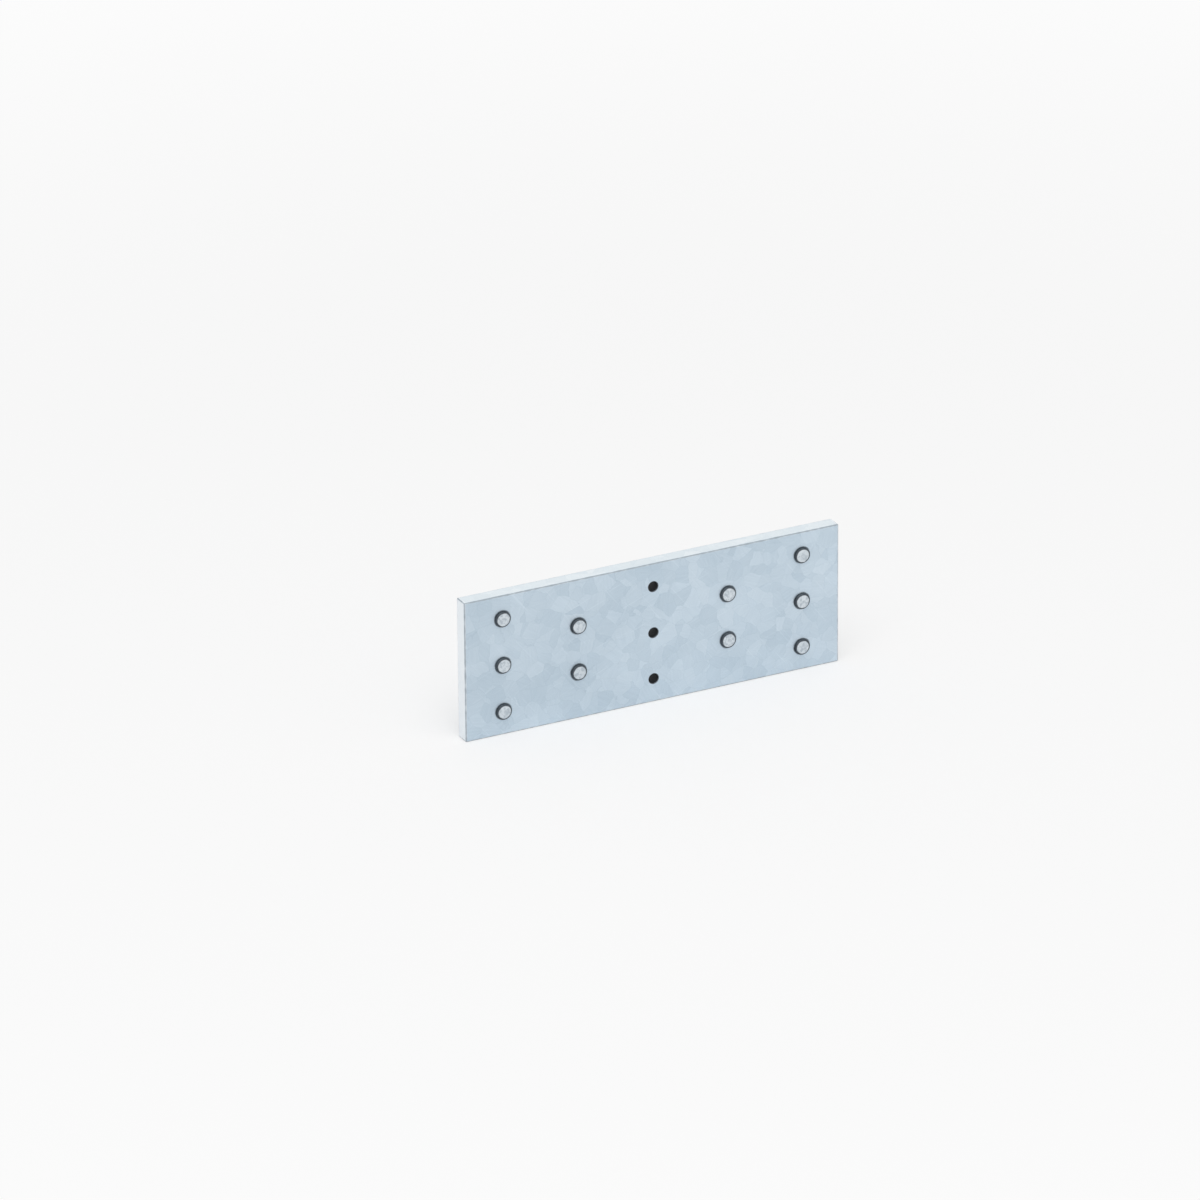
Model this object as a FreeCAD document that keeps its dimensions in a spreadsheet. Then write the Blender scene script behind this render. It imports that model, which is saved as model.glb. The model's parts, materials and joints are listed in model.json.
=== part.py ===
# Mending plate: a flat steel strap that joins two lengths end to end, with its nails.
# A flat bar is cut square to length, galvanised and drilled with thirteen holes in
# staggered columns. Ten flat-headed nails stand in the outer holes, and the three holes
# of the middle column, over the seam of the joint, are empty.
# Frame: origin at the middle of the back face, +X along the plate, +Y the way that the
# nails are driven, +Z up. Lengths are in millimetres and angles in degrees.

import FreeCAD, Part
import math
import os

import Sketcher

# Driving dimensions, by the name that each has in the sheet
SIZES = [
    # flat bar
    ("plate_length", 200.0),
    ("plate_height", 72.0),
    ("plate_thickness", 8.0),
    ("edge_round", 0.6),
    # drilled holes
    ("hole_diameter", 5.0),
    ("hole_mouth_break", 0.3),
    ("end_margin", 20.0),
    ("edge_margin", 12.0),
    # nails: what is under the head follows the hole less its play
    ("head_overlap", 1.5),
    ("head_thickness", 1.5),
    ("head_rim_round", 0.4),
    ("head_seat_round", 0.25),
    ("neck_play", 0.3),
    ("neck_length", 1.4),
    ("shank_play", 1.25),
    ("nail_length", 30.0),
    ("tip_width", 0.4),
    ("point_angle", 36.0),
]

# Places and sizes that follow from the driving dimensions
HALF_LENGTH = "sizes.plate_length / 2"
HALF_HEIGHT = "sizes.plate_height / 2"
HALF_RUN = "(sizes.plate_length / 2 - sizes.end_margin)"
HALF_RISE = "(sizes.plate_height / 2 - sizes.edge_margin)"
HOLE_RADIUS = "sizes.hole_diameter / 2"
HEAD_RADIUS = "(sizes.hole_diameter / 2 + sizes.head_overlap)"
NECK_RADIUS = "(sizes.hole_diameter - sizes.neck_play) / 2"
SHANK_RADIUS = "(sizes.hole_diameter - sizes.shank_play) / 2"

# Two grids of holes about the middle of the plate: three columns of three holes, and
# between them two columns of two holes, which lie half as far out both ways
OUTER_COLUMNS = 3
OUTER_ROWS = 3
OUTER_SHARE = 1
INNER_COLUMNS = 2
INNER_ROWS = 2
INNER_SHARE = 0.5

# Flats on a nail's diamond point
FLAT_COUNT = 4

# How close two lengths are when they count as the same
TOUCH = 1e-4


def add_sheet(doc):
    """The sheet that holds every driving dimension under its own name."""
    sheet = doc.addObject("Spreadsheet::Sheet", "sizes")
    for row, (name, value) in enumerate(SIZES, start=1):
        sheet.set(f"A{row}", name)
        sheet.set(f"B{row}", str(value))
        sheet.setAlias(f"B{row}", name)
    doc.recompute()
    return sheet


def origin_feature(body, role):
    """One of the body's own origin planes or axes."""
    return next(item for item in body.Origin.OriginFeatures if item.Role == role)


def add_sketch(body, role, name):
    """An empty sketch that lies on one of the body's origin planes."""
    sketch = body.newObject("Sketcher::SketchObject", name)
    sketch.AttachmentSupport = [(origin_feature(body, role), "")]
    sketch.MapMode = "FlatFace"
    return sketch


def place_point(sketch, element, point, across, upwards):
    """Dimension a point of an element from the sketch's origin, both ways."""
    for kind, expression in (("DistanceX", across), ("DistanceY", upwards)):
        spot = sketch.getPoint(element, point)
        start = spot.x if kind == "DistanceX" else spot.y
        number = sketch.addConstraint(Sketcher.Constraint(kind, -1, 1, element, point, start))
        sketch.setExpression(f"Constraints[{number}]", expression)


def draw_outline(sketch, corners):
    """A closed outline of straight lines, with a dimension both ways on each corner.

    It is drawn first as a rough ring, and the dimensions pull each corner to its place.
    """
    count = len(corners)
    turns = [math.tau * step / count for step in range(count)]
    ring = [FreeCAD.Vector(math.cos(turn), math.sin(turn), 0) for turn in turns]
    for start, end in zip(ring, ring[1:] + ring[:1]):
        sketch.addGeometry(Part.LineSegment(start, end))
    for line in range(count):
        sketch.addConstraint(Sketcher.Constraint("Coincident", line, 2, (line + 1) % count, 1))
    for line, (across, upwards) in enumerate(corners):
        place_point(sketch, line, 1, across, upwards)


def draw_circle(sketch, across, upwards, radius):
    """A circle with its centre and radius dimensioned."""
    up = FreeCAD.Vector(0, 0, 1)
    circle = sketch.addGeometry(Part.Circle(FreeCAD.Vector(1, 1, 0), up, 1))
    place_point(sketch, circle, 3, across, upwards)
    number = sketch.addConstraint(Sketcher.Constraint("Radius", circle, 1.0))
    sketch.setExpression(f"Constraints[{number}]", radius)


def add_dressing(body, kind, name, base, chosen, size_property, size):
    """A fillet or chamfer on the edges of the base that the choice picks out."""
    edges = [
        f"Edge{number}"
        for number, edge in enumerate(base.Shape.Edges, start=1)
        if not edge.Degenerated and chosen(edge)
    ]
    dressing = body.newObject(kind, name)
    dressing.Base = (base, edges)
    dressing.setExpression(size_property, size)
    body.Tip = dressing
    body.Document.recompute()
    return dressing


def add_bar(body):
    """The flat bar, cut square, with every outer edge softened by its zinc."""
    sketch = add_sketch(body, "XZ_Plane", "bar_outline")
    corners = [
        (f"-{HALF_LENGTH}", f"-{HALF_HEIGHT}"),
        (HALF_LENGTH, f"-{HALF_HEIGHT}"),
        (HALF_LENGTH, HALF_HEIGHT),
        (f"-{HALF_LENGTH}", HALF_HEIGHT),
    ]
    draw_outline(sketch, corners)
    bar = body.newObject("PartDesign::Pad", "bar")
    bar.Profile = sketch
    bar.setExpression("Length", "sizes.plate_thickness")
    body.Document.recompute()

    return add_dressing(
        body, "PartDesign::Fillet", "softened_edges", bar, lambda edge: True,
        "Radius", "sizes.edge_round",
    )


def add_hole_grid(body, name, share, columns, rows):
    """A drilled hole, repeated over a grid that is centred on the plate.

    The share is how far the grid's corner hole lies from the middle of the plate, of the
    way to the outermost hole.
    """
    sketch = add_sketch(body, "XZ_Plane", f"{name}_circle")
    draw_circle(sketch, f"-{share} * {HALF_RUN}", f"-{share} * {HALF_RISE}", HOLE_RADIUS)
    hole = body.newObject("PartDesign::Pocket", f"{name}_first")
    hole.Profile = sketch
    hole.Type = "ThroughAll"
    hole.Reversed = True
    body.Document.recompute()

    grid = body.newObject("PartDesign::LinearPattern", name)
    grid.Originals = [hole]
    grid.Direction = (origin_feature(body, "X_Axis"), [""])
    grid.Direction2 = (origin_feature(body, "Z_Axis"), [""])
    grid.Occurrences = columns
    grid.Occurrences2 = rows
    grid.setExpression("Length", f"{2 * share} * {HALF_RUN}")
    grid.setExpression("Length2", f"{2 * share} * {HALF_RISE}")
    body.Tip = grid
    body.Document.recompute()
    return grid


def add_plate(doc, sheet):
    """The plate: one flat bar with thirteen drilled holes, its mouths deburred."""
    body = doc.addObject("PartDesign::Body", "plate")
    body.Label = "plate"
    bar = add_bar(body)
    add_hole_grid(body, "outer_holes", OUTER_SHARE, OUTER_COLUMNS, OUTER_ROWS)
    drilled = add_hole_grid(body, "inner_holes", INNER_SHARE, INNER_COLUMNS, INNER_ROWS)
    if drilled.Shape.Volume > bar.Shape.Volume - TOUCH:
        raise RuntimeError("the holes cut nothing out of the plate")

    hole_radius = sheet.hole_diameter / 2

    def is_hole_mouth(edge):
        curve = edge.Curve
        return isinstance(curve, Part.Circle) and abs(curve.Radius - hole_radius) < TOUCH

    add_dressing(
        body, "PartDesign::Chamfer", "deburred_mouths", drilled, is_hole_mouth,
        "Size", "sizes.hole_mouth_break",
    )
    return body


def add_nail_blank(body, sheet):
    """The headed wire: a flat head, a tapered neck under it and a plain round shank."""
    sketch = add_sketch(body, "XY_Plane", "half_section")
    corners = [
        ("0", "-sizes.head_thickness"),
        (HEAD_RADIUS, "-sizes.head_thickness"),
        (HEAD_RADIUS, "0"),
        (NECK_RADIUS, "0"),
        (SHANK_RADIUS, "sizes.neck_length"),
        (SHANK_RADIUS, "sizes.nail_length"),
        ("0", "sizes.nail_length"),
    ]
    draw_outline(sketch, corners)
    blank = body.newObject("PartDesign::Revolution", "headed_wire")
    blank.Profile = sketch
    blank.ReferenceAxis = (sketch, ["V_Axis"])
    blank.Angle = 360
    body.Document.recompute()

    head_radius = sheet.hole_diameter / 2 + sheet.head_overlap

    def is_head_rim(edge, height):
        curve = edge.Curve
        rim = isinstance(curve, Part.Circle) and abs(curve.Radius - head_radius) < TOUCH
        return rim and abs(curve.Center.y - height) < TOUCH

    rounded = add_dressing(
        body, "PartDesign::Fillet", "head_rim", blank,
        lambda edge: is_head_rim(edge, -sheet.head_thickness),
        "Radius", "sizes.head_rim_round",
    )
    return add_dressing(
        body, "PartDesign::Fillet", "head_seat", rounded,
        lambda edge: is_head_rim(edge, 0),
        "Radius", "sizes.head_seat_round",
    )


def add_nail_point(body, blank):
    """The diamond point: the flats are pressed on one side and repeated about the shank."""
    sketch = add_sketch(body, "XY_Plane", "point_flat_side")
    reach = "(sizes.hole_diameter - sizes.tip_width) / 2"
    corners = [
        ("sizes.tip_width / 2", "sizes.nail_length"),
        (HOLE_RADIUS, f"sizes.nail_length - {reach} / tan(sizes.point_angle * 1 deg / 2)"),
        (HOLE_RADIUS, "sizes.nail_length"),
    ]
    draw_outline(sketch, corners)
    flat = body.newObject("PartDesign::Pocket", "point_flat")
    flat.Profile = sketch
    flat.Midplane = True
    flat.setExpression("Length", "2 * sizes.hole_diameter")
    body.Document.recompute()

    point = body.newObject("PartDesign::PolarPattern", "diamond_point")
    point.Originals = [flat]
    point.Axis = (origin_feature(body, "Y_Axis"), [""])
    point.Angle = 360
    point.Occurrences = FLAT_COUNT
    body.Tip = point
    body.Document.recompute()
    if point.Shape.Volume > blank.Shape.Volume - TOUCH:
        raise RuntimeError("the flats cut nothing off the nail's point")


def add_nail(doc, sheet, name, column, row):
    """One nail, its head seated on the front face over its hole.

    The column and row give its place as shares of the way from the middle of the plate
    to the outermost hole.
    """
    body = doc.addObject("PartDesign::Body", name)
    body.Label = name
    blank = add_nail_blank(body, sheet)
    add_nail_point(body, blank)
    body.setExpression("Placement.Base.x", f"{column} * {HALF_RUN}")
    body.setExpression("Placement.Base.y", "-sizes.plate_thickness")
    body.setExpression("Placement.Base.z", f"{row} * {HALF_RISE}")
    return body


def add_nails(doc, sheet):
    """The ten nails: five each side of the seam, three outside and two inside."""
    nails = []
    for side, way in (("left", -1), ("right", 1)):
        for level, row in (("top", 1), ("middle", 0), ("bottom", -1)):
            nails.append(add_nail(doc, sheet, f"nail_{side}_{level}", way, row))
        for level, row in (("top", INNER_SHARE), ("bottom", -INNER_SHARE)):
            name = f"nail_inner_{side}_{level}"
            nails.append(add_nail(doc, sheet, name, way * INNER_SHARE, row))
    return nails


def check_document(doc):
    """Stop if any feature failed to build."""
    for item in doc.Objects:
        if "Invalid" in item.State or "Error" in item.State:
            raise RuntimeError(f"{item.Label} failed: {item.State}")


def write_parts(bodies):
    """Check each sub-part's solid, then write them all."""
    for body in bodies:
        if body.Shape.isNull() or not body.Shape.isValid():
            raise RuntimeError(f"{body.Label} has no sound solid")
    os.makedirs("parts", exist_ok=True)
    for body in bodies:
        body.Shape.exportStep(os.path.join("parts", f"{body.Label}.step"))


document = FreeCAD.newDocument("mending_plate")
sizes = add_sheet(document)
sub_parts = [add_plate(document, sizes)] + add_nails(document, sizes)
document.recompute()
check_document(document)
write_parts(sub_parts)
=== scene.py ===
import json
import math

import bmesh
import bpy
import numpy as np
from mathutils import Matrix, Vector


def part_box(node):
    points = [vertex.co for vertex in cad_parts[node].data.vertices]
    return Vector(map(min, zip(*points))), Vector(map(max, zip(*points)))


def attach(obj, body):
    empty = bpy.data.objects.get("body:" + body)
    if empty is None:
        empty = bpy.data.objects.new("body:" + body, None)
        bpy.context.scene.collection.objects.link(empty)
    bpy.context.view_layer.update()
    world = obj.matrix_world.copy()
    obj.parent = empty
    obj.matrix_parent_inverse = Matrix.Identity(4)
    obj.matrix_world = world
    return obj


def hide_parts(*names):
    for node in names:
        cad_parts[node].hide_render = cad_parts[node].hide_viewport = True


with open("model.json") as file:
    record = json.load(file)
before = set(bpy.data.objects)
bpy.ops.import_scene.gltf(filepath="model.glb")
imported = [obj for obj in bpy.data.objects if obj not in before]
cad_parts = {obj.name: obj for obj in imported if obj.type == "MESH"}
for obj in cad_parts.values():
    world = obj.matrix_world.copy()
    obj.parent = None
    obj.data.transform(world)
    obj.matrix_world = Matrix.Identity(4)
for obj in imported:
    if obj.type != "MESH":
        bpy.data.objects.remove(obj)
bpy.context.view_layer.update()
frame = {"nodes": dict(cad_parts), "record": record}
MM = 0.001

# The flat bar
# A length of 8 mm mild steel flat bar, sawn square, dipped in molten zinc and then drilled
# with thirteen holes. The dip leaves every outer arris slightly round, and each hole is
# deburred on both faces with a countersink.

EDGE_ROUND = 0.6 * MM
MOUTH_BREAK = 0.3 * MM
GRID_STEP = 1.6 * MM
FACE_RINGS = (10, 7.5, 6.2, 5.4, 4.8, 4.4, 4.1, 3.8, 3.4, 3.0)
WALL_RINGS = 7
ROUND_STEPS = 5
SIDE_STEPS = 5
AXIS_DECIMALS = 4
SHARP_TURN = math.radians(30)
MERGE_REACH = 0.001 * MM
CRYSTAL_BEND = 2.5 * MM
GROOVE_WIDTH = 0.3 * MM
RIB_SPACING = 0.9 * MM
RELIEF_DEPTH = 0.03 * MM
TURNING_PITCH = 0.15 * MM
DRILLING_PITCH = 0.5 * MM
SAW_DEPTH = 0.15 * MM
WEAR_START, WEAR_END = 0.2 * MM, 0.8 * MM
WEAR_SWING = 0.15 * MM
# Painted contact shade: a dark ring on the plate round each nail head's seat, at this distance from its
# axis
PAINTED_SHADE_START, PAINTED_SHADE_END = 4.05 * MM, 4.7 * MM
# The colour of the painted shade round the heads' seats and at their rims
PAINTED_SHADE = "#4a535b"

plate_low, plate_high = (np.array(corner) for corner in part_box("plate"))
flat_low, flat_high = plate_low[[0, 2]] + EDGE_ROUND, plate_high[[0, 2]] - EDGE_ROUND


def axis_of(nail):
    """Where a nail's axis crosses the plate, across and up, to a tenth of a millimetre."""
    low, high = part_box(nail)
    return round((low.x + high.x) / 2, AXIS_DECIMALS), round((low.z + high.z) / 2, AXIS_DECIMALS)


nail_names = sorted(name for name in frame["nodes"] if name.startswith("nail_"))
nail_axes = {name: axis_of(name) for name in nail_names}
seam_bores = [mount for mount in frame["record"]["mounts"] if mount["kind"] == "bore"]
seam_axes = [(bore["pos_m"][0], bore["pos_m"][2]) for bore in seam_bores]
hole_radius = seam_bores[0]["dims"]["r_mm"] * MM
hole_axes = sorted(set(nail_axes.values()) | set(seam_axes))


def halfway_stops(places, low, high):
    """The two ends of a stretch and the points halfway between the places along it."""
    places = np.array(sorted(set(places)))
    return np.concatenate([[low], (places[:-1] + places[1:]) / 2, [high]])


def fine_lines(stops):
    """Every stop in order, with even steps of about the grid's step between each two."""
    stops = np.unique(np.round(stops, AXIS_DECIMALS + 1))
    counts = [max(1, round((end - start) / GRID_STEP)) for start, end in zip(stops, stops[1:])]
    spans = [np.linspace(*pair, count + 1)[:-1] for *pair, count in zip(stops, stops[1:], counts)]
    return np.concatenate([*spans, stops[-1:]])


column_stops = halfway_stops([x for x, _ in hole_axes], flat_low[0], flat_high[0])
row_stops = {
    x: halfway_stops([z for column, z in hole_axes if column == x], flat_low[1], flat_high[1])
    for x, _ in hole_axes
}
x_lines = fine_lines(column_stops)
z_lines = fine_lines(np.concatenate(list(row_stops.values())))


def outline(x_low, x_high, z_low, z_high):
    """The points of a rectangle in order round it, wherever the shared lines cross it."""
    xs = x_lines[(x_lines > x_low - EDGE_ROUND) & (x_lines < x_high + EDGE_ROUND)]
    zs = z_lines[(z_lines > z_low - EDGE_ROUND) & (z_lines < z_high + EDGE_ROUND)]
    sides = [
        np.stack([xs, np.full_like(xs, zs[0])], axis=1)[:-1],
        np.stack([np.full_like(zs, xs[-1]), zs], axis=1)[:-1],
        np.stack([xs, np.full_like(xs, zs[-1])], axis=1)[:0:-1],
        np.stack([np.full_like(zs, xs[0]), zs], axis=1)[:0:-1],
    ]
    return np.concatenate(sides)


def drilled_cell(axis):
    """One hole with the rectangle of plate about it, as a grid of rings.

    Rays run from the hole's axis to each point of the rectangle's outline. Along a ray the
    surface comes in over the front face, ring by ring, turns down the broken mouth and the
    wall, and goes out again over the back face.
    """
    x, z = axis
    left = column_stops[column_stops < x].max()
    right = column_stops[column_stops > x].min()
    bottom = row_stops[x][row_stops[x] < z].max()
    top = row_stops[x][row_stops[x] > z].min()
    rays = outline(left, right, bottom, top) - axis
    reach = np.linalg.norm(rays, axis=1)

    face = np.array(FACE_RINGS) * MM
    mouth = hole_radius + MOUTH_BREAK
    inward = np.append(face, mouth)
    wall = np.full(WALL_RINGS, hole_radius)
    rings = np.concatenate([inward, wall, inward[::-1]])
    distance = np.concatenate([[reach], np.repeat(rings[:, None], len(reach), 1), [reach]])
    depth = np.concatenate([
        np.full(len(inward) + 1, plate_low[1]),
        np.linspace(plate_low[1] + MOUTH_BREAK, plate_high[1] - MOUTH_BREAK, WALL_RINGS),
        np.full(len(inward) + 1, plate_high[1]),
    ])
    across, upwards = (rays / reach[:, None]).T
    return np.stack([
        x + across * distance,
        np.repeat(depth[:, None], len(reach), 1),
        z + upwards * distance,
    ], axis=-1)


def bar_edge():
    """The bar's edge: a profile carried round the outline of the flat.

    The profile goes out and back by a quarter round, straight along the side and in by a
    second quarter round. Its outward direction is square to the side, and it swings
    through a right angle while the path stands still at a corner.
    """
    path = outline(flat_low[0], flat_high[0], flat_low[1], flat_high[1])
    corners = [0, len(x_lines) - 1, len(x_lines) + len(z_lines) - 2]
    corners.append(2 * len(x_lines) + len(z_lines) - 3)
    places, turns = [], []
    for side, (start, end) in enumerate(zip(corners, corners[1:] + [len(path)])):
        points = np.concatenate([path[start:end], path[[end % len(path)]]])
        square = -math.pi / 2 + side * math.pi / 2
        swing = square + np.linspace(0, math.pi / 2, ROUND_STEPS + 1)[1:-1]
        places += [points, np.repeat(points[-1:], len(swing), 0)]
        turns += [np.full(len(points), square), swing]
    places, turns = np.concatenate(places), np.concatenate(turns)

    lean = np.linspace(0, math.pi / 2, ROUND_STEPS + 1)
    straight = np.linspace(EDGE_ROUND, plate_high[1] - plate_low[1] - EDGE_ROUND, SIDE_STEPS + 1)
    out = np.concatenate([np.sin(lean), np.ones(SIDE_STEPS - 1), np.cos(lean)]) * EDGE_ROUND
    depth = np.concatenate([
        plate_low[1] + EDGE_ROUND * (1 - np.cos(lean)),
        plate_low[1] + straight[1:-1],
        plate_high[1] - EDGE_ROUND * (1 - np.sin(lean)),
    ])
    return np.stack([
        places[:, 0] + out[:, None] * np.cos(turns),
        np.repeat(depth[:, None], len(turns), 1),
        places[:, 1] + out[:, None] * np.sin(turns),
    ], axis=-1)


def ring_faces(rows, columns):
    """The corner numbers of a grid's faces, with its last column joined to its first."""
    number = np.arange(rows * columns).reshape(rows, columns)
    onward = np.roll(number, -1, axis=1)
    return np.stack([number[:-1], onward[:-1], onward[1:], number[1:]], axis=-1)


def joined_surface(name, grids):
    """One closed mesh from grids of points that meet edge to edge.

    Each grid comes with the material number of each of its bands between two rings. What
    two grids share is merged, and edges that turn by more than 30 degrees stay crisp.
    """
    points, faces, numbers, start = [], [], [], 0
    for grid, bands in grids:
        rows, columns = grid.shape[:2]
        points.append(grid.reshape(-1, 3))
        faces.append(ring_faces(rows, columns).reshape(-1, 4) + start)
        numbers.append(np.repeat(bands, columns))
        start += rows * columns
    mesh = bpy.data.meshes.new(name)
    mesh.from_pydata(np.concatenate(points), [], np.concatenate(faces))
    mesh.polygons.foreach_set("material_index", np.concatenate(numbers).astype(np.int32))
    mesh.shade_smooth()

    surface = bmesh.new()
    surface.from_mesh(mesh)
    bmesh.ops.remove_doubles(surface, verts=surface.verts, dist=MERGE_REACH)
    bmesh.ops.recalc_face_normals(surface, faces=surface.faces)
    for edge in surface.edges:
        edge.smooth = edge.calc_face_angle(math.pi) < SHARP_TURN
    surface.to_mesh(mesh)
    surface.free()
    return mesh


def stand(mesh, node, materials):
    """Put a finished mesh in the scene in the place of its node, with its materials."""
    piece = bpy.data.objects.new(f"zinc_{node}", mesh)
    bpy.context.scene.collection.objects.link(piece)
    for material in materials:
        mesh.materials.append(material)
    even = piece.modifiers.new("even_shading", "WEIGHTED_NORMAL")
    even.keep_sharp = True
    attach(piece, "root")
    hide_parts(node)
    return piece


def paint(code):
    """A colour written as an sRGB hex code, turned into linear light."""
    shares = [int(code[place:place + 2], 16) / 255 for place in (1, 3, 5)]
    low, high = [s / 12.92 for s in shares], [((s + 0.055) / 1.055) ** 2.4 for s in shares]
    return (*[a if s <= 0.04045 else b for s, a, b in zip(shares, low, high)], 1)


def add(tree, kind, inputs=None, **settings):
    """Add a node: its settings by name, and each input as a value or as a socket to link."""
    node = tree.nodes.new(f"ShaderNode{kind}")
    for name, value in settings.items():
        setattr(node, name, value)
    for name, value in (inputs or {}).items():
        if isinstance(value, bpy.types.NodeSocket):
            tree.links.new(value, node.inputs[name])
        else:
            node.inputs[name].default_value = value
    return node


def bare_material(name):
    """An empty material, with its node tree and its shader."""
    material = bpy.data.materials.new(name)
    material.use_nodes = True
    tree = material.node_tree
    return material, tree, tree.nodes["Principled BSDF"]


def zinc_coat(name, dull, bright, spangle, roughness):
    """Hot-dip galvanised steel: a thin zinc coat frozen in flat crystals.

    The eye sees a pale blue-grey metal, satin and not mirror-like, with a mosaic of
    crystals a few millimetres across. Each has its own tone and leans its own way by up to
    three degrees, so that some catch the light. Fern-like ribs run off a crystal's spine, a
    thin groove parts it from the next, and a few handling scratches cross them all.
    """
    material, tree, shader = bare_material(name)
    place = add(tree, "TexCoord").outputs["Object"]
    in_mm = add(tree, "VectorMath", {0: place, "Scale": 1 / MM}, operation="SCALE").outputs[0]

    # Crystals with straight growth fronts, bent by up to a millimetre
    bend = add(tree, "TexNoise", {"Vector": in_mm, "Scale": 0.22, "Detail": 2.0})
    shift = add(tree, "VectorMath", {0: bend.outputs["Color"], 1: (0.5, 0.5, 0.5)}, operation="SUBTRACT")
    shift = add(tree, "VectorMath", {0: shift.outputs[0], "Scale": CRYSTAL_BEND / MM}, operation="SCALE")
    bent = add(tree, "VectorMath", {0: in_mm, 1: shift.outputs[0]}, operation="ADD").outputs[0]
    crystal = add(tree, "TexVoronoi", {"Vector": bent, "Scale": 1 / spangle})
    facts = add(tree, "SeparateColor", {"Color": crystal.outputs["Color"]})

    # The groove between two crystals
    border = add(tree, "TexVoronoi", {"Vector": bent, "Scale": 1 / spangle}, feature="DISTANCE_TO_EDGE")
    groove = add(tree, "MapRange", {
        "Value": border.outputs["Distance"], "From Max": GROOVE_WIDTH / MM / 2 / spangle,
        "To Min": 1.0, "To Max": 0.0,
    }, interpolation_type="SMOOTHSTEP")

    # Ribs that run back on both sides of a crystal's spine, unevenly and coarser than real ones
    turn = add(tree, "Math", {0: facts.outputs["Green"], 1: math.tau}, operation="MULTIPLY")
    leaf = add(tree, "VectorMath", {0: bent, 1: crystal.outputs["Position"]}, operation="SUBTRACT")
    leaf = add(tree, "VectorRotate", {
        "Vector": leaf.outputs[0], "Axis": (0, 1, 0), "Angle": turn.outputs[0],
    })
    leaf = add(tree, "SeparateXYZ", {"Vector": leaf.outputs[0]}).outputs
    off_spine = add(tree, "Math", {0: leaf["Z"]}, operation="ABSOLUTE")
    back = add(tree, "Math", {0: off_spine.outputs[0], 1: 0.7, 2: leaf["X"]}, operation="MULTIPLY_ADD")
    phase = add(tree, "Math", {0: back.outputs[0], 1: math.tau * MM / RIB_SPACING}, operation="MULTIPLY")
    uneven = add(tree, "TexNoise", {"Vector": in_mm, "Scale": 0.6, "Detail": 2.0})
    phase = add(tree, "Math", {
        0: uneven.outputs["Fac"], 1: 9.0, 2: phase.outputs[0],
    }, operation="MULTIPLY_ADD")
    rib = add(tree, "Math", {0: phase.outputs[0]}, operation="SINE")

    # Feathering inside a crystal, about 0.5 mm wide, along the crystal's own direction
    along = add(tree, "VectorRotate", {"Vector": in_mm, "Axis": (0, 1, 0), "Angle": turn.outputs[0]})
    thin = add(tree, "VectorMath", {0: along.outputs[0], 1: (0.12, 0.5, 1.1)}, operation="MULTIPLY")
    feather = add(tree, "TexNoise", {"Vector": thin.outputs[0], "Scale": 1.0, "Detail": 3.0})
    cloud = add(tree, "TexNoise", {"Vector": in_mm, "Scale": 0.035, "Detail": 2.0})

    # Scratches about 0.2 mm wide and 20 mm long, on two slants
    scratches = []
    for slant in (math.radians(21), math.radians(-52)):
        turned = add(tree, "VectorRotate", {"Vector": in_mm, "Axis": (0, 1, 0), "Angle": slant})
        drawn = add(tree, "VectorMath", {0: turned.outputs[0], 1: (0.05, 0.3, 2.2)}, operation="MULTIPLY")
        line = add(tree, "TexNoise", {"Vector": drawn.outputs[0], "Scale": 1.0, "Detail": 0.0})
        scratches.append(add(tree, "MapRange", {
            "Value": line.outputs["Fac"], "From Min": 0.77, "From Max": 0.82,
        }).outputs[0])

    # Tone: each layer adds its share to the crystal's own
    tone = add(tree, "Math", {0: facts.outputs["Red"], 1: 0.42}, operation="MULTIPLY").outputs[0]
    shares = [(feather.outputs["Fac"], 0.55), (cloud.outputs["Fac"], 0.6), (rib.outputs[0], 0.07)]
    shares += [(groove.outputs[0], -0.25)] + [(scratch, 0.3) for scratch in scratches]
    for layer, share in shares:
        tone = add(tree, "Math", {0: layer, 1: share, 2: tone}, operation="MULTIPLY_ADD").outputs[0]
    level = add(tree, "MapRange", {"Value": tone, "From Min": 0.35, "From Max": 1.2})
    coat = add(tree, "Mix", {
        "Factor": level.outputs[0], "A": paint(dull), "B": paint(bright),
    }, data_type="RGBA")
    tree.links.new(coat.outputs["Result"], shader.inputs["Base Color"])

    satin = add(tree, "MapRange", {
        "Value": facts.outputs["Blue"], "To Min": roughness - 0.08, "To Max": roughness + 0.08,
    })
    tree.links.new(satin.outputs[0], shader.inputs["Roughness"])
    shader.inputs["Metallic"].default_value = 0.65

    # Relief: each crystal leans as a whole, with its ribs, feathering and grooves on it
    straight = add(tree, "NewGeometry").outputs["Normal"]
    lean = add(tree, "VectorMath", {0: crystal.outputs["Color"], 1: (0.5, 0.5, 0.5)}, operation="SUBTRACT")
    lean = add(tree, "VectorMath", {0: lean.outputs[0], "Scale": 0.1}, operation="SCALE")
    lean = add(tree, "VectorMath", {0: straight, 1: lean.outputs[0]}, operation="ADD")
    lean = add(tree, "VectorMath", {0: lean.outputs[0]}, operation="NORMALIZE")
    height = feather.outputs["Fac"]
    for layer, share in ((rib.outputs[0], 0.15), (groove.outputs[0], -0.5)):
        height = add(tree, "Math", {0: layer, 1: share, 2: height}, operation="MULTIPLY_ADD").outputs[0]
    relief = add(tree, "Bump", {
        "Height": height, "Strength": 0.3, "Distance": RELIEF_DEPTH, "Normal": lean.outputs[0],
    })
    tree.links.new(relief.outputs[0], shader.inputs["Normal"])
    return material, tree, shader


def lay_over(tree, shader, mask, colour):
    """Put a second colour over the shader's own, as strongly as the mask says."""
    under = shader.inputs["Base Color"].links[0].from_socket
    over = add(tree, "Mix", {"Factor": mask, "A": under, "B": paint(colour)}, data_type="RGBA")
    tree.links.new(over.outputs["Result"], shader.inputs["Base Color"])


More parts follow.
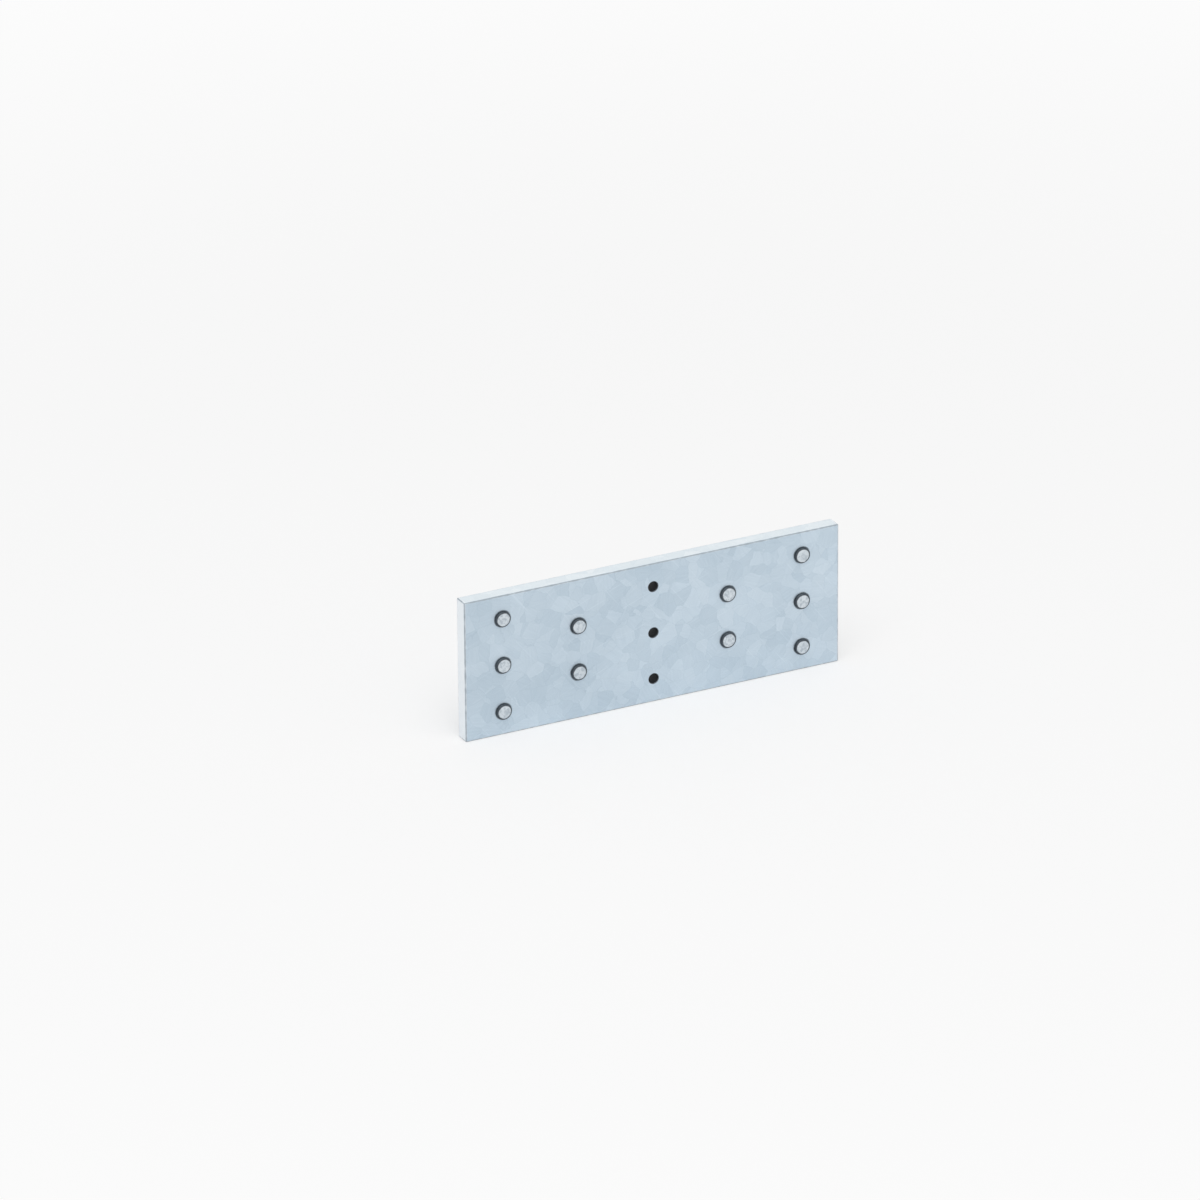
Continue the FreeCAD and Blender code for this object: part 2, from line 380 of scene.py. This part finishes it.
def cut_steel_painted_shade():
    """The countersink's cut through the zinc into mild steel, coloured dark grey as painted shade at the
    hole's mouth.

    The eye sees a thin dark ring with a faint sheen and turning marks, drawn 0.15 mm apart.
    """
    material, tree, shader = bare_material("cut_steel_painted_shade")
    place = add(tree, "TexCoord").outputs["Object"]
    depth = add(tree, "SeparateXYZ", {"Vector": place}).outputs["Y"]
    marks = add(tree, "Math", {0: depth, 1: math.tau / TURNING_PITCH}, operation="MULTIPLY")
    wave = add(tree, "Math", {0: marks.outputs[0]}, operation="SINE")
    level = add(tree, "MapRange", {"Value": wave.outputs[0], "From Min": -1.0})
    # Painted shade: dark grey, darker than bare cut steel, so the mouth reads as part of a dark hole.
    tone = add(tree, "Mix", {
        "Factor": level.outputs[0], "A": paint("#50565b"), "B": paint("#62696f"),
    }, data_type="RGBA")
    tree.links.new(tone.outputs["Result"], shader.inputs["Base Color"])
    shader.inputs["Metallic"].default_value = 0.7
    shader.inputs["Roughness"].default_value = 0.5
    return material


def drilled_steel_painted_shade():
    """The bare steel that the drill leaves, with fine rings round the hole, coloured near black as painted
    shade in the hole.

    The eye sees a dark hole with a faint sheen near its mouth. The rings are drawn 0.5 mm apart, coarser
    than the real feed, so that they show.
    """
    material, tree, shader = bare_material("drilled_steel_painted_shade")
    place = add(tree, "TexCoord").outputs["Object"]
    depth = add(tree, "SeparateXYZ", {"Vector": place}).outputs["Y"]
    rings = add(tree, "Math", {0: depth, 1: math.tau / DRILLING_PITCH}, operation="MULTIPLY")
    wave = add(tree, "Math", {0: rings.outputs[0]}, operation="SINE")
    level = add(tree, "MapRange", {"Value": wave.outputs[0], "From Min": -1.0})
    # Painted shade: both colours of the wall are near black, far darker than bare steel.
    tone = add(tree, "Mix", {
        "Factor": level.outputs[0], "A": paint("#26282b"), "B": paint("#34373b"),
    }, data_type="RGBA")
    tree.links.new(tone.outputs["Result"], shader.inputs["Base Color"])
    shader.inputs["Metallic"].default_value = 0.6
    shader.inputs["Roughness"].default_value = 0.6
    return material


def wear_and_seat_shade(tree, shader):
    """Lay wear along each arris, where the zinc is thin and dull, and painted contact shade round the seat
    of each head.

    The nearest arris is as far off as the second smallest of a point's three depths under
    the bar's faces.
    """
    middle, half = (plate_low + plate_high) / 2, (plate_high - plate_low) / 2
    place = add(tree, "TexCoord").outputs["Object"]
    offset = add(tree, "VectorMath", {0: place, 1: middle}, operation="SUBTRACT")
    offset = add(tree, "VectorMath", {0: offset.outputs[0]}, operation="ABSOLUTE")
    depth = add(tree, "VectorMath", {0: half, 1: offset.outputs[0]}, operation="SUBTRACT")
    depths = add(tree, "SeparateXYZ", {"Vector": depth.outputs[0]}).outputs
    less = add(tree, "Math", {0: depths["X"], 1: depths["Y"]}, operation="MINIMUM")
    more = add(tree, "Math", {0: depths["X"], 1: depths["Y"]}, operation="MAXIMUM")
    rest = add(tree, "Math", {0: more.outputs[0], 1: depths["Z"]}, operation="MINIMUM")
    second = add(tree, "Math", {0: less.outputs[0], 1: rest.outputs[0]}, operation="MAXIMUM")

    # Patches a few millimetres long, in which the wear and the painted seat shade reach more or less far
    patch = add(tree, "TexNoise", {"Vector": place, "Scale": 0.25 / MM, "Detail": 2.0})
    further = add(tree, "MapRange", {
        "Value": patch.outputs["Fac"], "From Min": 0.3, "From Max": 0.7,
        "To Min": -WEAR_SWING, "To Max": WEAR_SWING,
    })
    worn = add(tree, "Math", {0: second.outputs[0], 1: further.outputs[0]}, operation="ADD")
    thin = add(tree, "MapRange", {
        "Value": worn.outputs[0], "From Min": WEAR_START, "From Max": WEAR_END,
        "To Min": 0.85, "To Max": 0.0,
    }, interpolation_type="SMOOTHSTEP")
    lay_over(tree, shader, thin.outputs[0], "#8d9aa5")

    # Painted shade: the plate is darkened in a ring just outside each nail head, where head and plate meet
    seat = add(tree, "Attribute", attribute_name="from_nail")
    seat = add(tree, "Math", {0: seat.outputs["Fac"], 1: further.outputs[0]}, operation="ADD")
    seat_shade = add(tree, "MapRange", {
        "Value": seat.outputs[0], "From Min": PAINTED_SHADE_START, "From Max": PAINTED_SHADE_END,
        "To Min": 0.85, "To Max": 0.0,
    }, interpolation_type="SMOOTHSTEP")
    lay_over(tree, shader, seat_shade.outputs[0], PAINTED_SHADE)


def face_zinc():
    """The zinc on the plate's two faces, in crystals about 7 mm across."""
    material, tree, shader = zinc_coat("zinc_face", "#bccdda", "#d4e2ed", spangle=7, roughness=0.48)
    wear_and_seat_shade(tree, shader)
    return material


def edge_zinc_painted_light():
    """The zinc on the bar's edges, with painted light: coloured paler than on its faces, as edges that
    catch the light look.

    The long edges are smooth from the mill. On the two ends the colour is painted paler still, as more
    painted light, and keeps a faint ripple of the saw's uneven marks, which run up the end about 1 mm
    apart.
    """
    # Painted light: both edge colours are paler than the faces' colours.
    material, tree, shader = zinc_coat("zinc_edge_painted_light", "#dae4ea", "#eaf1f5", spangle=7, roughness=0.42)
    place = add(tree, "TexCoord").outputs["Object"]
    parts = add(tree, "SeparateXYZ", {"Vector": place}).outputs
    side = add(tree, "Math", {0: parts["X"]}, operation="ABSOLUTE")
    on_end = add(tree, "MapRange", {
        "Value": side.outputs[0],
        "From Min": plate_high[0] - 2 * EDGE_ROUND, "From Max": plate_high[0] - EDGE_ROUND,
    })
    # Painted light: the two ends are coloured paler still.
    paler = add(tree, "Math", {0: on_end.outputs[0], 1: 0.55}, operation="MULTIPLY")
    lay_over(tree, shader, paler.outputs[0], "#f6fafe")
    wear_and_seat_shade(tree, shader)

    drawn_out = add(tree, "VectorMath", {0: place, 1: (0, 1 / MM, 0.04 / MM)}, operation="MULTIPLY")
    sawn = add(tree, "TexNoise", {"Vector": drawn_out.outputs[0], "Scale": 1.0, "Detail": 2.0})
    marks = add(tree, "Math", {0: sawn.outputs["Fac"], 1: on_end.outputs[0]}, operation="MULTIPLY")
    ripple = add(tree, "Bump", {
        "Height": marks.outputs[0], "Strength": 0.5, "Distance": SAW_DEPTH,
        "Normal": shader.inputs["Normal"].links[0].from_socket,
    })
    tree.links.new(ripple.outputs[0], shader.inputs["Normal"])
    return material


def mark_distance(mesh, name, axes, reach, back):
    """Store on each point how far it lies from the nearest of the axes.

    No point counts as further off than the reach, and every point behind the given depth
    counts as that far.
    """
    points = np.empty(len(mesh.vertices) * 3)
    mesh.vertices.foreach_get("co", points)
    points = points.reshape(-1, 3)
    distance = np.linalg.norm(points[:, None, [0, 2]] - np.array(axes), axis=-1).min(axis=1)
    distance[(points[:, 1] > back) | (distance > reach)] = reach
    mark = mesh.attributes.new(name, "FLOAT", "POINT")
    mark.data.foreach_set("value", distance.astype(np.float32))


FACE, MOUTH, WALL, EDGE = 0, 1, 2, 3
face_rings = len(FACE_RINGS) + 1
cell_bands = [FACE] * face_rings + [MOUTH] + [WALL] * (WALL_RINGS - 1) + [MOUTH] + [FACE] * face_rings
edge = bar_edge()
plate_mesh = joined_surface(
    "zinc_plate",
    [(drilled_cell(axis), cell_bands) for axis in hole_axes] + [(edge, [EDGE] * (len(edge) - 1))],
)
mark_reach = FACE_RINGS[0] * MM
mark_distance(plate_mesh, "from_nail", list(nail_axes.values()), mark_reach, plate_low[1] + EDGE_ROUND)
stand(plate_mesh, "plate", [
    face_zinc(),
    cut_steel_painted_shade(),
    drilled_steel_painted_shade(),
    edge_zinc_painted_light(),
])

# The nails
# Ten connector nails, cold-headed from 3.75 mm wire, zinc coated and driven home. A cone
# under the flat head centres each in its hole, and the point is pressed to four flats.

HEAD_CROWN = 0.15 * MM
RIM_ROUND = 0.6 * MM
SEAT_ROUND = 0.25 * MM
NECK_PLAY = 0.3 * MM
NECK_LENGTH = 1.4 * MM
SHANK_PLAY = 1.25 * MM
TIP_WIDTH = 0.4 * MM
POINT_ANGLE = math.radians(36)
NAIL_COLUMNS = 72
CROWN_RINGS = 6
SHANK_RINGS = 8
POINT_RINGS = 6
DENT_DEPTH = 0.4 * MM
BORDER_START, BORDER_END = 3.3 * MM, 3.7 * MM
BORDER_SWING = 0.6 * MM
HEAD_TOP, HEAD_SIDE, SHANK = 0, 1, 2


def driven_nail(node):
    """One nail as rings about its axis, from the middle of its head to its tip.

    The crown sinks with the square of the way out, the rim is a quarter round, and the
    side, seat, cone and shank follow. Each ray of the point starts where its flat leaves
    the round shank, and closes evenly to the flat's own half width at the tip.
    """
    low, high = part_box(node)
    x, z = nail_axes[node]
    head_radius = (high.z - low.z) / 2
    neck_radius = hole_radius - NECK_PLAY / 2
    shank_radius = hole_radius - SHANK_PLAY / 2
    seat = plate_low[1]
    turn = np.linspace(0, math.tau, NAIL_COLUMNS, endpoint=False)

    way_out = np.linspace(0, 1, CROWN_RINGS + 1)
    quarter = np.linspace(0, math.pi / 2, ROUND_STEPS + 1)[1:]
    crown = low.y + HEAD_CROWN * way_out ** 2
    rim = low.y + HEAD_CROWN + RIM_ROUND * (1 - np.cos(quarter))
    foot = seat - SEAT_ROUND * (1 - np.sin(quarter))
    neck_end = seat + NECK_LENGTH
    flats = np.maximum(abs(np.cos(turn)), abs(np.sin(turn)))
    point_start = high.y - (shank_radius * flats - TIP_WIDTH / 2) / math.tan(POINT_ANGLE / 2)
    shank_end = point_start.min() - NECK_LENGTH

    out = np.concatenate([
        (head_radius - RIM_ROUND) * way_out,
        head_radius - RIM_ROUND * (1 - np.sin(quarter)),
        [head_radius],
        head_radius - SEAT_ROUND * (1 - np.cos(quarter)),
        [neck_radius],
        np.full(SHANK_RINGS, shank_radius),
    ])
    along = np.concatenate([
        crown, rim, [seat - SEAT_ROUND], foot, [seat], np.linspace(neck_end, shank_end, SHANK_RINGS),
    ])
    share = np.linspace(0, 1, POINT_RINGS + 1)[:, None]
    point_out = shank_radius + share * (TIP_WIDTH / 2 / flats - shank_radius)
    point_along = point_start + share * (high.y - point_start)
    out = np.concatenate([np.repeat(out[:, None], len(turn), 1), point_out, [0 * turn]])
    along = np.concatenate([
        np.repeat(along[:, None], len(turn), 1), point_along, [0 * turn + high.y],
    ])
    return np.stack([x + out * np.cos(turn), along, z + out * np.sin(turn)], axis=-1)


def nail_head_zinc():
    """The zinc on top of a head, rubbed bright by the hammer, with a dark border painted at the rim as
    shade.

    The hammer also leaves shallow dents, about 1 mm across, and the zinc in them stays dull.
    """
    material, tree, shader = zinc_coat("nail_head_zinc", "#cfd8df", "#e1e8ed", spangle=3, roughness=0.42)
    place = add(tree, "TexCoord").outputs["Object"]
    beaten = add(tree, "TexNoise", {"Vector": place, "Scale": 0.8 / MM, "Detail": 2.0})
    dents = add(tree, "Bump", {
        "Height": beaten.outputs["Fac"], "Strength": 0.6, "Distance": DENT_DEPTH,
        "Normal": shader.inputs["Normal"].links[0].from_socket,
    })
    tree.links.new(dents.outputs[0], shader.inputs["Normal"])
    hollow = add(tree, "MapRange", {
        "Value": beaten.outputs["Fac"], "From Min": 0.35, "From Max": 0.6, "To Min": 0.6, "To Max": 0.0,
    }, interpolation_type="SMOOTHSTEP")
    lay_over(tree, shader, hollow.outputs[0], "#a3afb9")

    # The painted shade border starts about 3 mm from the axis, and up to 0.15 mm nearer or further
    out = add(tree, "Attribute", attribute_name="from_axis").outputs["Fac"]
    patch = add(tree, "TexNoise", {"Vector": place, "Scale": 0.5 / MM, "Detail": 2.0})
    uneven = add(tree, "Math", {
        0: patch.outputs["Fac"], 1: BORDER_SWING, 2: out,
    }, operation="MULTIPLY_ADD")
    border = add(tree, "MapRange", {
        "Value": uneven.outputs[0], "From Min": BORDER_START, "From Max": BORDER_END, "To Max": 0.9,
    }, interpolation_type="SMOOTHSTEP")
    lay_over(tree, shader, border.outputs[0], PAINTED_SHADE)
    return material


head_bands = [HEAD_TOP] * CROWN_RINGS + [HEAD_SIDE] * (2 * ROUND_STEPS + 1)
nail_finishes = [
    nail_head_zinc(),
    # Painted shade: the head's side, rim and underside are coloured dark grey as the head's shaded side
    zinc_coat("nail_side_painted_shade", "#3d444a", "#535b62", spangle=3, roughness=0.55)[0],
    zinc_coat("nail_shank_zinc", "#b3bdc5", "#c6cfd6", spangle=3, roughness=0.45)[0],
]
for node in nail_names:
    rings = driven_nail(node)
    bands = head_bands + [SHANK] * (len(rings) - 1 - len(head_bands))
    nail_mesh = joined_surface(f"zinc_{node}", [(rings, np.array(bands))])
    mark_distance(nail_mesh, "from_axis", [nail_axes[node]], mark_reach, plate_low[1])
    stand(nail_mesh, node, nail_finishes)

# The floor
# A matt white floor that the plate stands on with its lower edge. It keeps the soft shadow
# near the plate and runs out to pure white.

FLOOR_REACH = 3.0
SHADOW_REACH = 0.35
FLOOR_GLOW = 0.42
floor_mesh = bpy.data.meshes.new("floor")
ends = (-FLOOR_REACH, FLOOR_REACH)
floor_corners = [(x, y, plate_low[2]) for x, y in zip(ends + ends[::-1], (ends[0],) * 2 + (ends[1],) * 2)]
floor_mesh.from_pydata(floor_corners, [], [(0, 1, 2, 3)])
floor = bpy.data.objects.new("floor", floor_mesh)
bpy.context.scene.collection.objects.link(floor)


def seen_directly(tree):
    """High where the eye sees a surface straight or mirrored, and low where it only lights others."""
    path = add(tree, "LightPath").outputs
    seen = add(tree, "Math", {0: path["Is Camera Ray"], 1: path["Is Glossy Ray"]}, operation="MAXIMUM")
    seen = add(tree, "Math", {0: seen.outputs[0], 1: path["Is Transmission Ray"]}, operation="MAXIMUM")
    return add(tree, "Math", {
        0: seen.outputs[0], 1: path["Diffuse Depth"],
    }, operation="SUBTRACT", use_clamp=True).outputs[0]


def white_floor():
    """Matt white paint, which glows more and more the further it is from the plate."""
    material, tree, shader = bare_material("white_floor")
    shader.inputs["Base Color"].default_value = paint("#fdfdfd")
    shader.inputs["Roughness"].default_value = 0.9
    shader.inputs["Specular IOR Level"].default_value = 0.0
    place = add(tree, "TexCoord").outputs["Object"]
    distance = add(tree, "VectorMath", {0: place}, operation="LENGTH").outputs["Value"]
    fade = add(tree, "MapRange", {
        "Value": distance, "From Min": SHADOW_REACH, "From Max": 4 * SHADOW_REACH,
        "To Min": FLOOR_GLOW, "To Max": 1.0,
    }, interpolation_type="SMOOTHSTEP")
    share = add(tree, "Math", {0: fade.outputs[0], 1: seen_directly(tree)}, operation="MULTIPLY")
    glow = add(tree, "Emission", {"Color": (1, 1, 1, 1), "Strength": 1.0})
    blend = add(tree, "MixShader", {0: share.outputs[0], 1: shader.outputs[0], 2: glow.outputs[0]})
    tree.links.new(blend.outputs[0], tree.nodes["Material Output"].inputs["Surface"])
    return material


floor_mesh.materials.append(white_floor())

# The light
# A large soft lamp high on the left in front of the plate, and a plain white room. The room
# lights the steel less than the eye sees of it, so that the lamp gives the form.

ROOM_LIGHT = 0.62


def add_lamp(name, towards, distance, width, power):
    """A square lamp that faces the middle of the plate from the given direction."""
    lamp = bpy.data.lights.new(name, "AREA")
    lamp.size = width
    lamp.energy = power
    holder = bpy.data.objects.new(name, lamp)
    direction = np.array(towards) / np.linalg.norm(towards)
    holder.location = direction * distance
    holder.rotation_mode = "QUATERNION"
    holder.rotation_quaternion = holder.location.to_track_quat("Z", "Y")
    holder.visible_camera = False
    bpy.context.scene.collection.objects.link(holder)


add_lamp("key_lamp", (-0.24, -0.36, 0.9), distance=5, width=4, power=99)

world = bpy.data.worlds.new("white_room")
bpy.context.scene.world = world
world.use_nodes = True
sky = world.node_tree
background = sky.nodes["Background"]
room = add(sky, "MapRange", {"Value": seen_directly(sky), "To Min": ROOM_LIGHT, "To Max": 1.0})
sky.links.new(room.outputs[0], background.inputs["Strength"])
background.inputs["Color"].default_value = (1, 1, 1, 1)

# The camera
# It looks from the left and from above, as the picture does. The angles, the distance and
# the aim were fitted to the seven corners of the plate that show.

VIEW_AZIMUTH = math.radians(-26.77)
VIEW_ELEVATION = math.radians(24.01)
VIEW_ROLL = math.radians(-0.46)
IMAGE_WIDTH = 1200
FOCAL_LENGTH = 9700.3
CAMERA_DISTANCE = 4626.1 * MM
AIM_LEFT = 21.814 * MM
AIM_BELOW = -12.704 * MM
VIEW_DEPTH = 50.0

level = np.array([math.cos(VIEW_AZIMUTH), math.sin(VIEW_AZIMUTH), 0])
backwards = np.array([
    math.sin(VIEW_AZIMUTH) * math.cos(VIEW_ELEVATION),
    -math.cos(VIEW_AZIMUTH) * math.cos(VIEW_ELEVATION),
    math.sin(VIEW_ELEVATION),
])
upright = np.cross(backwards, level)
rightwards = math.cos(VIEW_ROLL) * level + math.sin(VIEW_ROLL) * upright
upwards = math.cos(VIEW_ROLL) * upright - math.sin(VIEW_ROLL) * level
eye = CAMERA_DISTANCE * backwards - AIM_LEFT * rightwards - AIM_BELOW * upwards

camera = bpy.data.objects.new("camera", bpy.data.cameras.new("camera"))
stance = np.eye(4)
stance[:3] = np.stack([rightwards, upwards, backwards, eye], axis=1)
camera.matrix_world = Matrix(stance)
camera.data.lens = FOCAL_LENGTH / IMAGE_WIDTH * camera.data.sensor_width
camera.data.clip_end = VIEW_DEPTH
bpy.context.scene.collection.objects.link(camera)
bpy.context.scene.camera = camera
bpy.context.scene.view_settings.view_transform = "Standard"
